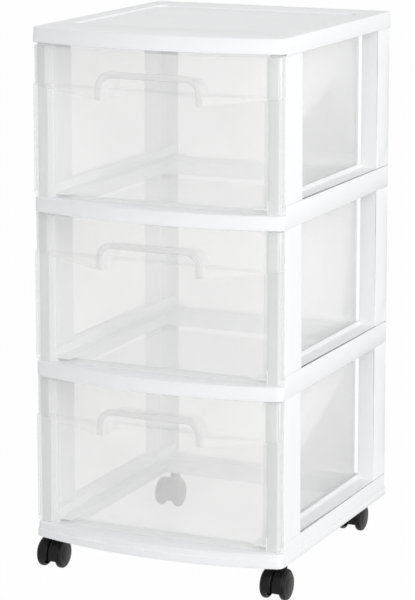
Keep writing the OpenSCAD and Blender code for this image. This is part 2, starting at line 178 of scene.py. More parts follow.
def rounded(
    shape: bmesh.types.BMesh, name: str, radius: float, steps: int = 2, edge_slot: int = -1
) -> bpy.types.Object:
    """Round every sharp edge of a moulding.

    Args:
        shape: the moulding, which is freed.
        name: the object's name.
        radius: the edge radius.
        steps: segments across the rounded edge.
        edge_slot: material slot of the rounded edges, or -1 for that of their faces.

    Returns:
        The plain object, smooth between its edges.
    """
    mesh = bpy.data.meshes.new(name)
    for face in shape.faces:
        face.smooth = True
    sharp = BVHTree.FromBMesh(shape)
    shape.to_mesh(mesh)
    shape.free()
    blank = link_object(name + "_blank", mesh)
    bevel = blank.modifiers.new("edge", "BEVEL")
    bevel.width = radius
    bevel.segments = steps
    bevel.limit_method = "ANGLE"
    bevel.angle_limit = MOULDED_EDGE
    bevel.use_clamp_overlap = False
    bevel.harden_normals = True
    bevel.material = edge_slot
    made = baked(blank, name)
    # Where edges run together at a low angle the bevel overshoots, so those corners come back
    for vert in made.data.vertices:
        on_sharp, _, _, off = sharp.find_nearest(vert.co)
        if off > BEVEL_SHARE * radius:
            vert.co = on_sharp
    return made


def write_shell(
    shape: bmesh.types.BMesh, mesh: bpy.types.Mesh, weld: float, smooth: bool = True
) -> None:
    """Close a shell, turn its faces outwards and write it to a mesh.

    Args:
        shape: the shell, which is freed.
        mesh: the mesh that takes it.
        weld: points closer than this become one.
        smooth: whether its faces shade smoothly.
    """
    bmesh.ops.remove_doubles(shape, verts=shape.verts, dist=weld)
    bmesh.ops.recalc_face_normals(shape, faces=shape.faces)
    for face in shape.faces:
        face.smooth = smooth
    shape.to_mesh(mesh)
    shape.free()


def lathe(
    name: str,
    profile: list[tuple[float, float]],
    centre: Point,
    side: float,
    turns: int = 72,
) -> bpy.types.Mesh:
    """Turn a closed section about an axle along X.

    Args:
        name: the mesh's name.
        profile: (radius, distance outwards) points round the section.
        centre: the axle's point at distance 0.
        side: 1 where outwards is +X, -1 where it is -X.
        turns: steps round the axle.

    Returns:
        A closed mesh whose faces point outwards.
    """
    shape = bmesh.new()
    rings = []
    for step in range(turns):
        angle = 2 * math.pi * step / turns
        rings.append(
            [
                shape.verts.new(
                    (
                        centre[0] + side * out,
                        centre[1] + radius * math.cos(angle),
                        centre[2] + radius * math.sin(angle),
                    )
                )
                for radius, out in profile
            ]
        )
    count = len(profile)
    for step, ring in enumerate(rings):
        after = rings[(step + 1) % turns]
        for i in range(count):
            j = (i + 1) % count
            shape.faces.new((ring[i], ring[j], after[j], after[i]))
    mesh = bpy.data.meshes.new(name)
    write_shell(shape, mesh, TURNED_WELD)
    mesh.set_sharp_from_angle(angle=TURNED_EDGE)
    return mesh


class Section(Enum):
    """The cross-section that a sweep draws along its paths."""

    ROUND = "round"
    FLAT = "flat"


def sweep_tree(section: Section) -> bpy.types.NodeTree:
    """Build the Geometry Nodes tree that sweeps a section along every path of a mesh.

    Args:
        section: a round bead or a flat-sided rib.

    Returns:
        The tree, with named inputs for the section's size, its facing and its material.
    """
    name = section.value + "_sweep"
    if name in bpy.data.node_groups:
        return bpy.data.node_groups[name]
    tree = bpy.data.node_groups.new(name, "GeometryNodeTree")
    for label, kind in (
        ("Paths", "Geometry"),
        ("Width", "Float"),
        ("Height", "Float"),
        ("Facing", "Vector"),
        ("Material", "Material"),
    ):
        tree.interface.new_socket(label, in_out="INPUT", socket_type="NodeSocket" + kind)
    tree.interface.new_socket("Mesh", in_out="OUTPUT", socket_type="NodeSocketGeometry")
    given = add(tree, "NodeGroupInput").outputs
    # Either outline is 1 across, so its scale is its size
    if section is Section.ROUND:
        outline = add(
            tree, "GeometryNodeCurvePrimitiveCircle", {"Resolution": ROUND_SIDES, "Radius": 0.5}
        )
    else:
        outline = add(
            tree, "GeometryNodeCurvePrimitiveQuadrilateral", {"Width": 1.0, "Height": 1.0}
        )
    # The section's X lies along the facing and its Y across it
    size = add(
        tree, "ShaderNodeCombineXYZ", {"X": given["Height"], "Y": given["Width"], "Z": 1.0}
    )
    shaped = add(
        tree,
        "GeometryNodeTransform",
        {"Geometry": outline.outputs["Curve"], "Scale": size.outputs[0]},
    )
    lines = add(tree, "GeometryNodeMeshToCurve", {"Mesh": given["Paths"]})
    turned = add(
        tree,
        "GeometryNodeSetCurveNormal",
        {"Curve": lines.outputs["Curve"], "Normal": given["Facing"]},
        mode="FREE",
    )
    taper = add(tree, "GeometryNodeInputNamedAttribute", {"Name": "taper"}, data_type="FLOAT")
    sized = add(
        tree,
        "GeometryNodeSetCurveRadius",
        {"Curve": turned.outputs["Curve"], "Radius": taper.outputs["Attribute"]},
    )
    swept = add(
        tree,
        "GeometryNodeCurveToMesh",
        {
            "Curve": sized.outputs["Curve"],
            "Profile Curve": shaped.outputs["Geometry"],
            "Fill Caps": True,
        },
    )
    real = add(tree, "GeometryNodeRealizeInstances", {"Geometry": swept.outputs["Mesh"]})
    coated = add(
        tree,
        "GeometryNodeSetMaterial",
        {"Geometry": real.outputs["Geometry"], "Material": given["Material"]},
    )
    add(tree, "NodeGroupOutput", {"Mesh": coated.outputs["Geometry"]})
    return tree


@dataclass
class Sweep:
    """Ribs or beads of one section, each along its own path.

    Attributes:
        section: the shape of the section.
        width: its size across the facing.
        height: its size along the facing.
        facing: the direction that its height points in.
        paths: the points of each path.
        tapers: the section's scale at each of those points.
    """

    section: Section
    width: float
    height: float
    facing: Point
    paths: list[list[Point]] = field(default_factory=list)
    tapers: list[list[float]] = field(default_factory=list)

    def along(self, path: list[Point], taper: list[float] | None = None) -> None:
        """Add one path.

        Args:
            path: the points that the section follows.
            taper: the section's scale at each point, 1 where it is left out.
        """
        self.paths.append(path)
        self.tapers.append(taper or [1.0] * len(path))

    def build(self, name: str, material: bpy.types.Material) -> bpy.types.Object:
        """Sweep the section along every path.

        Args:
            name: the piece's name.
            material: its finish.

        Returns:
            The plain object, with closed shells that face outwards.
        """
        mesh = bpy.data.meshes.new(name + "_paths")
        points = [p for path in self.paths for p in path]
        edges = []
        start = 0
        for path in self.paths:
            edges += [(start + i, start + i + 1) for i in range(len(path) - 1)]
            start += len(path)
        mesh.from_pydata(points, edges, [])
        layer = mesh.attributes.new("taper", "FLOAT", "POINT")
        layer.data.foreach_set("value", [t for taper in self.tapers for t in taper])
        blank = link_object(name + "_paths", mesh)
        modifier = blank.modifiers.new("sweep", "NODES")
        modifier.node_group = sweep_tree(self.section)
        values = {
            "Width": self.width,
            "Height": self.height,
            "Facing": self.facing,
            "Material": material,
        }
        for item in modifier.node_group.interface.items_tree:
            if item.in_out == "INPUT" and item.name in values:
                modifier[item.identifier] = values[item.name]
        made = baked(blank, name)
        shape = bmesh.new()
        shape.from_mesh(made.data)
        write_shell(shape, made.data, FINE_WELD, smooth=self.section is Section.ROUND)
        return made


# ---- finishes --------------------------------------------------------------------------


class Gloss(Enum):
    """How a mould or a lathe leaves the surface, as the roughness it renders with."""

    MIRROR_POLISHED = 0.12
    POLISHED = 0.14
    FINE_TURNED = 0.28
    SATIN = 0.34
    RUBBED = 0.38
    SPARK_TEXTURED = 0.44


@dataclass(frozen=True)
class Finish:
    """A moulded plastic or a metal, with its colour, gloss and grain.

    Attributes:
        name: the material's name.
        light: its paler colour.
        dark: the colour that it drifts to and from over mottle_mm.
        gloss: its roughness, which the grain moves up and down by spread.
        cover: how much the haze in one face hides of what lies behind it.
        light_share: the part of cover that holds for light falling through.
        polish: roughness of the mirror on a hazy plastic.
        mirror_most: strength of that mirror where it is looked along.
        grain_mm: size of the mould's texture, grain_depth_mm deep.
        wave_mm: size of the shallow ripples, wave_depth_mm deep.
    """

    name: str
    light: str
    dark: str
    gloss: Gloss
    ior: float = 1.5
    specular: float = 0.5
    metallic: float = 0.0
    cover: float = 1.0
    light_share: float = 0.06
    polish: float = 0.08
    mirror_most: float = 0.4
    mottle_mm: float = 70.0
    grain_mm: float = 2.2
    grain_depth_mm: float = 0.02
    wave_mm: float = 45.0
    wave_depth_mm: float = 0.05
    spread: float = 0.05

    def build(self) -> bpy.types.Material:
        """Make the node material.

        Returns:
            The material, which reads Object coordinates in metres.
        """
        made = bpy.data.materials.new(self.name)
        made.use_nodes = True
        tree = made.node_tree
        tree.nodes.clear()
        place = add(tree, "ShaderNodeTexCoord").outputs["Object"]
        mottle, fine, wave = (
            add(
                tree,
                "ShaderNodeTexNoise",
                {"Vector": place, "Scale": grain(size_mm), "Detail": detail},
            ).outputs["Fac"]
            for size_mm, detail in (
                (self.mottle_mm, 3.0),
                (self.grain_mm, 2.0),
                (self.wave_mm, 1.0),
            )
        )
        # A colour Mix has several sockets called A and B, so they are set by position
        tint = add(
            tree,
            "ShaderNodeMix",
            {0: mottle, 6: linear(self.dark), 7: linear(self.light)},
            data_type="RGBA",
        )
        rough = add(
            tree,
            "ShaderNodeMapRange",
            {
                "Value": fine,
                "From Min": NOISE_LOW,
                "From Max": NOISE_HIGH,
                "To Min": max(self.gloss.value - self.spread, LEAST_ROUGHNESS),
                "To Max": self.gloss.value + self.spread,
            },
        ).outputs["Result"]
        wavy = add(
            tree,
            "ShaderNodeBump",
            {"Height": wave, "Distance": self.wave_depth_mm * MM, "Strength": 1.0},
        ).outputs["Normal"]
        bumpy = add(
            tree,
            "ShaderNodeBump",
            {
                "Height": fine,
                "Normal": wavy,
                "Distance": self.grain_depth_mm * MM,
                "Strength": 1.0,
            },
        ).outputs["Normal"]
        shader = add(
            tree,
            "ShaderNodeBsdfPrincipled",
            {
                "Base Color": tint.outputs[2],
                "Roughness": rough,
                "Normal": bumpy,
                "Metallic": self.metallic,
                "IOR": self.ior,
                "Specular IOR Level": self.specular,
            },
        )
        surface = shader.outputs["BSDF"]
        if self.cover < 1:
            surface = self._seen_through(tree, surface, bumpy)
        add(tree, "ShaderNodeOutputMaterial", {"Surface": surface})
        return made

    def _seen_through(
        self, tree: bpy.types.NodeTree, skin: bpy.types.NodeSocket, normal: bpy.types.NodeSocket
    ) -> bpy.types.NodeSocket:
        """Lay the plastic's skin over what lies behind it.

        Haze scatters light onwards instead of stopping it, so the plastic covers less for light
        that falls through it than for the eye. The polished surface mirrors more the flatter it
        is looked along, however thin the haze.

        Args:
            tree: the material's tree.
            skin: the shader of the haze inside the plastic.
            normal: the surface's own bumps.

        Returns:
            The mixed shader's output.
        """
        path = add(tree, "ShaderNodeLightPath").outputs
        falling = add(
            tree,
            "ShaderNodeMath",
            {0: path["Is Shadow Ray"], 1: path["Is Diffuse Ray"]},
            operation="MAXIMUM",
        )
        cover = add(
            tree,
            "ShaderNodeMapRange",
            {
                "Value": falling.outputs[0],
                "To Min": self.cover,
                "To Max": self.cover * self.light_share,
            },
        )
        clear = add(tree, "ShaderNodeBsdfTransparent", {"Color": linear(WHITE)})
        mixed = add(
            tree,
            "ShaderNodeMixShader",
            {0: cover.outputs["Result"], 1: clear.outputs[0], 2: skin},
        )
        # Schlick's curve, the same from inside a wall as from outside it
        flat = add(tree, "ShaderNodeLayerWeight", {"Blend": 0.5}).outputs["Facing"]
        steep = add(
            tree, "ShaderNodeMath", {0: flat, 1: SCHLICK_POWER}, operation="POWER"
        ).outputs[0]
        square_on = self.mirror_most * ((self.ior - 1) / (self.ior + 1)) ** 2
        mirror = add(
            tree,
            "ShaderNodeMapRange",
            {"Value": steep, "To Min": square_on, "To Max": self.mirror_most},
        )
        still = add(
            tree,
            "ShaderNodeMath",
            {0: 1.0, 1: falling.outputs[0]},
            operation="SUBTRACT",
        )
        share = add(
            tree,
            "ShaderNodeMath",
            {0: mirror.outputs["Result"], 1: still.outputs[0]},
            operation="MULTIPLY",
        )
        polish = add(
            tree,
            "ShaderNodeBsdfAnisotropic",
            {"Color": linear(WHITE), "Roughness": self.polish, "Normal": normal},
        )
        glossy = add(
            tree,
            "ShaderNodeMixShader",
            {0: share.outputs[0], 1: mixed.outputs[0], 2: polish.outputs[0]},
        )
        return glossy.outputs[0]


# Polypropylene, injection moulded in a lightly textured mould: bright white with a soft, broad
# sheen, a faint unevenness of tone over a hand's width and long shallow sink waves. Its mould
# texture is about 0.3 mm, drawn at 2 mm so that it shows at all.
WHITE_MOULDING = Finish(
    "white_polypropylene_moulded", "#F6F7F8", "#F0F1F2", Gloss.SATIN, ior=1.49
)

# Polystyrene, injection moulded in a polished mould: colourless and glossy, with a slight milky
# haze that keeps what lies behind it soft, and faint ripples over a finger's width.
CLEAR_WALL = Finish(
    "clear_polystyrene_moulded",
    "#F5F5F4",
    "#F0F0EF",
    Gloss.POLISHED,
    ior=1.58,
    cover=0.29,
    grain_mm=6.0,
    grain_depth_mm=0.005,
    wave_mm=22.0,
    wave_depth_mm=0.015,
    spread=0.02,
)

# The same polystyrene where it lies level, in the floor, the ledge and the lip: the eye looks
# along it, so its mirror hides much of what lies beneath and the haze has less left to hide. Its
# haze is painted a little darker than the wall's, as shade on the level plates.
CLEAR_FLAT_SHADE = replace(
    CLEAR_WALL,
    name="clear_polystyrene_flat_painted_shade",
    light="#F0F1F0",
    dark="#EBECEB",
    gloss=Gloss.MIRROR_POLISHED,
    cover=0.22,
)

# The same polystyrene seen along a wall instead of through it, in painted shade: a rim, a
# rounded edge or a corner is painted greyer and more solid for the light that has come a long
# way through the plastic, and the upright bands by the front's corners take the same grey as the
# painted shadow on the white posts behind the front.
CLEAR_RIM_SHADE = replace(
    CLEAR_WALL,
    name="clear_polystyrene_rim_painted_shade",
    light="#DBDDDC",
    dark="#D5D7D6",
    gloss=Gloss.MIRROR_POLISHED,
    cover=0.42,
)

# The same polystyrene rolled into a bead, in painted shade: it is painted a little greyer than
# the wall round it, for the light that its steep sides bend away; the soft gleams where it turns
# are its mirror.
CLEAR_BEAD_SHADE = replace(
    CLEAR_WALL,
    name="clear_polystyrene_bead_painted_shade",
    light="#E0E1E0",
    dark="#DBDCDB",
    gloss=Gloss.MIRROR_POLISHED,
    cover=0.34,
    mirror_most=0.5,
)

# Nylon, injection moulded in a spark-eroded mould: black with a soft satin sheen and a fine
# even grain of about 0.5 mm, drawn at 1 mm.
BLACK_HOOD = Finish(
    "black_nylon_spark_textured",
    "#0D0D0E",
    "#080808",
    Gloss.SPARK_TEXTURED,
    ior=1.53,
    specular=0.2,
    mottle_mm=15.0,
    grain_mm=1.0,
    grain_depth_mm=0.03,
    wave_mm=9.0,
)

# Nylon turned out of a smooth mould and rubbed on the floor: a brownish black with a slight,
# uneven shine.
BLACK_WHEEL = Finish(
    "black_nylon_wheel_smooth",
    "#14110F",
    "#0D0B0A",
    Gloss.RUBBED,
    ior=1.53,
    specular=0.2,
    mottle_mm=12.0,
    grain_mm=1.4,
    grain_depth_mm=0.03,
    wave_mm=8.0,
)

# Steel wire stock, turned and bright zinc plated: bluish silver with a fine turned grain.
ZINC_STEEL = Finish(
    "zinc_plated_turned_steel",
    "#C9CCD1",
    "#B8BCC2",
    Gloss.FINE_TURNED,
    metallic=1.0,
    mottle_mm=6.0,
    grain_mm=0.8,
    grain_depth_mm=0.01,
    wave_mm=5.0,
)


class Slot(Enum):
    """The record's material slots, one for each kind of piece here."""

    WHITE = "white_moulding"
    CLEAR = "clear_moulding"
    HOOD = "black_nylon"
    WHEEL = "black_wheel"


@dataclass
class Palette:
    """The built materials, one for each finish."""

    made: dict[str, bpy.types.Material] = field(default_factory=dict)

    def get(self, finish: Finish) -> bpy.types.Material:
        """Return a finish's material, built the first time it is asked for."""
        if finish.name not in self.made:
            self.made[finish.name] = finish.build()
        return self.made[finish.name]


def put_on(piece: bpy.types.Object, body: str, slot: Slot, *nodes: str) -> None:
    """Tell the frame what a finished piece rides on and stands for.

    Args:
        piece: the finished object.
        body: the CAD body that carries it.
        slot: not used.
        nodes: the CAD nodes that it replaces.
    """
    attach(piece, body)
    if nodes:
        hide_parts(*nodes)
    log.info("%s rides on %s", piece.name, body)


# ---- the tower's own plan --------------------------------------------------------------


class Tier(Enum):
    """The tower's storeys, from the top down."""

    UPPER = "upper"
    MIDDLE = "middle"
    LOWER = "lower"


class Corner(Enum):
    """The corners of the base, each with its caster."""

    FRONT_LEFT = "front_left"
    FRONT_RIGHT = "front_right"
    REAR_LEFT = "rear_left"
    REAR_RIGHT = "rear_right"

    @property
    def on_right(self) -> bool:
        """Return whether the corner is on the tower's right."""
        return self in (Corner.FRONT_RIGHT, Corner.REAR_RIGHT)


class WheelSide(Enum):
    """The wheels of a caster, the outer one at the tower's side."""

    OUTER = "outer"
    INNER = "inner"


@dataclass(frozen=True)
class Plan:
    """The tower's outline from above, which its front mouldings share.

    Attributes:
        half_w: half the tower's width.
        corner_y: where the corners of the front lie.
        bow: how far the front bows out past them.
    """

    half_w: float = 160.5 * MM
    corner_y: float = -159 * MM
    bow: float = 25 * MM

    @property
    def arc_r(self) -> float:
        """Return the radius of the bowed front."""
        return (self.half_w**2 + self.bow**2) / (2 * self.bow)

    def front_y(self, x: float, inset: float = 0.0) -> float:
        """Return the bow's Y at x, drawn in by inset."""
        centre = self.corner_y - self.bow + self.arc_r
        return centre - math.sqrt((self.arc_r - inset) ** 2 - x * x)


# ---- white mouldings -------------------------------------------------------------------


@dataclass
class FrameMoulding:
    """One white ring of rails with its four posts and the ribs that stiffen its rails.

    Attributes:
        rail_back: how far behind the front corners the front rail ends.
        rib_bite: how far a rib reaches into the wall at each of its ends.
        rib_sink: how far a rib reaches into the plate above it.
        rail_ribs: ribs under the front rail on each side of the middle one.
        shelf_rib_from: the first shelf rib's distance behind the front corners.
        shelf_rib_end: what a shelf rib keeps clear at the back.
    """

    tier: Tier
    palette: Palette
    plan: Plan = Plan()
    edge_r: float = 0.7 * MM
    wall: float = 2.2 * MM
    rail_h: float = 17 * MM
    rail_back: float = 31.8 * MM
    rib_t: float = 1.4 * MM
    rib_h: float = 7 * MM
    rib_bite: float = 0.5 * MM
    rib_sink: float = 0.2 * MM
    rib_pitch: float = 36 * MM
    rail_ribs: int = 3
    band_h: float = 28 * MM
    shelf_w: float = 20 * MM
    shelf_edge_t: float = 2 * MM
    shelf_ribs: int = 5
    shelf_rib_from: float = 70 * MM
    shelf_rib_pitch: float = 45 * MM
    shelf_rib_end: float = 50 * MM

    @property
    def node(self) -> str:
        """Return the moulding's CAD node."""
        return self.tier.value + "_frame"

    def _rail_ribs(self) -> Sweep:
        """Return the ribs under the front rail and under the shelves of the side rails."""
        ribs = Sweep(Section.FLAT, self.rib_t, self.rib_h, UP)
        low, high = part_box(self.node)
        z = low.z + self.rail_h - self.wall - self.rib_h / 2 + self.rib_sink
        y1 = self.plan.corner_y + self.rail_back + self.rib_bite
        for i in range(-self.rail_ribs, self.rail_ribs + 1):
            x = i * self.rib_pitch
            ribs.along([(x, self.plan.front_y(x, self.wall - self.rib_bite), z), (x, y1, z)])
        z = low.z + self.band_h - self.wall - self.rib_h / 2 + self.rib_sink
        inner = self.plan.half_w - self.shelf_w - self.shelf_edge_t
        outer = self.plan.half_w - self.wall + self.rib_bite
        for side in (-1, 1):
            for i in range(self.shelf_ribs):
                y = self.plan.corner_y + self.shelf_rib_from + i * self.shelf_rib_pitch
                if y < high.y - self.shelf_rib_end:
                    ribs.along([(side * inner, y, z), (side * outer, y, z)])
        return ribs

    def build(self) -> None:
        """Make the ring with its moulded edges and its ribs."""
        white = self.palette.get(WHITE_MOULDING)
        piece = rounded(merged_copy(self.node), self.node + "_moulding", self.edge_r)
        piece.data.materials.append(white)
        put_on(piece, "tower", Slot.WHITE, self.node)
        put_on(self._rail_ribs().build(self.node + "_rail_ribs", white), "tower", Slot.WHITE)


@dataclass
class TopPanel:
    """The white lid with its sunken deck and its flared skirt.

    Attributes:
        flare: how far the skirt leans out at its foot.
        flare_h: the height over which it leans.
        skirt_t: the depth from the outside in which points belong to the skirt.
        seam_foot: how far a seam's foot stands out of the bow, and above the skirt's edge.
        seam_head: how far its head lies inside the bow, and under the rim.
    """

    palette: Palette
    plan: Plan = Plan()
    node: str = "top_panel"
    edge_r: float = 0.9 * MM
    edge_steps: int = 3
    flare: float = 1.2 * MM
    flare_h: float = 13 * MM
    skirt_t: float = 8 * MM
    seam_w: float = 0.7 * MM
    seam_t: float = 0.3 * MM
    seam_x: tuple[float, ...] = (-117 * MM, -72 * MM, 14 * MM)
    seam_foot: tuple[float, float] = (0.6 * MM, 5 * MM)
    seam_head: tuple[float, float] = (0.05 * MM, 1.5 * MM)

    def _flare(self, shape: bmesh.types.BMesh) -> None:
        """Lean the skirt outwards towards its foot.

        Args:
            shape: the lid's shape, bent in place.
        """
        low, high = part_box(self.node)
        top = low.z + self.flare_h
        middle_y = (low.y + high.y) / 2
        half_d = (high.y - low.y) / 2
        for vert in shape.verts:
            p = vert.co
            if p.z > top:
                continue
            at_side = abs(p.x) > self.plan.half_w - self.skirt_t
            at_back = p.y > high.y - self.skirt_t
            on_bow = (
                abs(p.x) < self.plan.half_w and p.y < self.plan.front_y(p.x) + self.skirt_t
            )
            if at_side or at_back or on_bow:
                share = self.flare * (top - p.z) / self.flare_h
                p.x *= 1 + share / self.plan.half_w
                p.y = middle_y + (p.y - middle_y) * (1 + share / half_d)

    def _seams(self) -> Sweep:
        """Return the faint upright seams that the mould's parts leave in the skirt."""
        low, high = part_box(self.node)
        seams = Sweep(Section.ROUND, self.seam_w, self.seam_t, FORWARDS)
        out, above = self.seam_foot
        inside, under = self.seam_head
        for x in self.seam_x:
            y = self.plan.front_y(x)
            seams.along([(x, y - out, low.z + above), (x, y + inside, high.z - under)])
        return seams

    def build(self) -> None:
        """Make the lid with its moulded edges and its seams."""
        shape = merged_copy(self.node)
        self._flare(shape)
        white = self.palette.get(WHITE_MOULDING)
        piece = rounded(shape, self.node + "_moulding", self.edge_r, steps=self.edge_steps)
        piece.data.materials.append(white)
        put_on(piece, "tower", Slot.WHITE, self.node)
        put_on(self._seams().build(self.node + "_seams", white), "tower", Slot.WHITE)


# ---- drawers ---------------------------------------------------------------------------


class DrawerFace(IntEnum):
    """The kinds of face on a drawer, by the material index of their finish."""

    WALL = 0
    PLATE = 1
    RIM = 2


FACE_FINISHES = {
    DrawerFace.WALL: CLEAR_WALL,
    DrawerFace.PLATE: CLEAR_FLAT_SHADE,
    DrawerFace.RIM: CLEAR_RIM_SHADE,
}


@dataclass
class Drawer:
    """One clear drawer: a box with a flat front, a bowed band and an arched finger recess.

    Attributes:
        pull_half: half the recess's width.
        pull_top: the top of the recess above the frame's foot.
        pull_r: radius of the recess's shoulders.
        skirt_low: the bowed band's lower edge above the frame's foot.
        bead_out: the share of the bead's width that its middle lies outside the recess.
        bead_lift: where the bead starts above the band's lower edge.
        bead_tip: the bead's scale at its tips, and tip_reach the height over which it grows.
        bead_steps: the points up each side, round each shoulder and along half the top.
        corner_shade_band: the upright bands between the front and its flanges, from x to x,
            painted in the rims' grey as the shadow on the posts behind the front.
        front_t: the depth behind the front corners in which faces belong to the front.
        level: how squarely, from 0 to 1, a plate has to look up or down.
        upright: how squarely a face has to look sideways or forwards to take the rims' painted
            shade.
    """

    tier: Tier
    palette: Palette
    plan: Plan = Plan()
    front_inset: float = 0.5 * MM
    pull_half: float = 61 * MM
    pull_top: float = 168 * MM
    pull_r: float = 15 * MM
    skirt_low: float = 140 * MM
    bead_w: float = 8 * MM
    bead_t: float = 2.4 * MM
    bead_out: float = 0.42
    bead_lift: float = 1.5 * MM
    bead_tip: float = 0.35
    tip_reach: float = 16 * MM
    bead_steps: tuple[int, int, int] = (6, 12, 8)
    corner_shade_band: tuple[float, float] = (142 * MM, 154 * MM)
    front_t: float = 3.5 * MM
    level: float = 0.9
    upright: float = 0.5
    edge_r: float = 0.5 * MM

    @property
    def node(self) -> str:
        """Return the drawer's CAD node, which is also its body."""
        return self.tier.value + "_drawer"

    @property
    def foot_z(self) -> float:
        """Return the foot of the frame that the drawer slides in."""
        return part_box(self.tier.value + "_frame")[0].z

    def _sort_faces(self, mesh: bpy.types.Mesh) -> None:
        """Give each face the kind of finish that the plastic shows there.

        The corner bands, as the painted shadow on the posts behind the front, and the flange's
        sides take the rims' greyer painted shade, and faces that are rims already, along the
        rounded edges, stay so.

        Args:
            mesh: the drawer's mesh, cut in place along the edges of the corner bands.
        """
        shape = bmesh.new()
        shape.from_mesh(mesh)
        front = self.plan.corner_y + self.front_t
        for x in (edge * side for edge in self.corner_shade_band for side in (-1, 1)):
            near = [f for f in shape.faces if f.calc_center_median().y < front]
            edges = {e for f in near for e in f.edges}
            verts = {v for f in near for v in f.verts}
            bmesh.ops.bisect_plane(
                shape,
                geom=near + list(edges) + list(verts),
                dist=FINE_WELD,
                plane_co=(x, 0, 0),
                plane_no=(1, 0, 0),
            )
        low, high = self.corner_shade_band
        for face in shape.faces:
            if face.material_index == DrawerFace.RIM:
                continue
            middle = face.calc_center_median()
            in_shade_band = low < abs(middle.x) < high and middle.y < front
            # Level plates take a haze painted a little darker, as shade
            if abs(face.normal.z) > self.level:
                face.material_index = DrawerFace.PLATE
            # Flange sides and corner bands are painted in the rims' grey as shade, in the bands
            # the shadow on the posts behind the front
            elif abs(middle.x) > high and abs(face.normal.x) > self.upright:
                face.material_index = DrawerFace.RIM
            elif in_shade_band and abs(face.normal.y) > self.upright:
                face.material_index = DrawerFace.RIM
        shape.to_mesh(mesh)
        shape.free()

    def _bead(self) -> Sweep:
        """Return the bead that rolls round the arch of the finger recess."""
        grow = self.bead_w * self.bead_out
        half = self.pull_half + grow
        top = self.foot_z + self.pull_top + grow
        radius = self.pull_r + grow
        low = self.foot_z + self.skirt_low + self.bead_lift
        up, round_by, across = self.bead_steps
        side = [(-half, low + (top - radius - low) * i / up) for i in range(up)]
        turn = [
            (-half + radius * (1 - math.cos(a)), top - radius * (1 - math.sin(a)))
            for a in (math.pi / 2 * i / round_by for i in range(round_by + 1))
        ]
        flat = [
            (-half + radius + (half - radius) * i / across, top) for i in range(1, across + 1)
        ]
        left = side + turn + flat
        whole = left + [(-x, z) for x, z in reversed(left[:-1])]
        path = [(x, self.plan.front_y(x, self.front_inset), z) for x, z in whole]
        taper = [
            self.bead_tip + (1 - self.bead_tip) * min(1.0, (z - low) / self.tip_reach)
            for _, _, z in path
        ]
        bead = Sweep(Section.ROUND, self.bead_w, self.bead_t, FORWARDS)
        bead.along(path, taper)
        return bead

    def build(self) -> None:
        """Make the drawer with its level plates, its rims and its rolled arch, whose greyer
        hazes are painted shade.
        """
        # The rounded edges take the rims' grey, painted shade
        piece = rounded(
            merged_copy(self.node),
            self.node + "_moulding",
            self.edge_r,
            edge_slot=DrawerFace.RIM,
        )
        self._sort_faces(piece.data)
        for kind in DrawerFace:
            piece.data.materials.append(self.palette.get(FACE_FINISHES[kind]))
        put_on(piece, self.node, Slot.CLEAR, self.node)
        # The bead's greyer haze is painted shade
        bead = self._bead().build(self.node + "_arch_bead", self.palette.get(CLEAR_BEAD_SHADE))
        put_on(bead, self.node, Slot.CLEAR)


# ---- casters ---------------------------------------------------------------------------


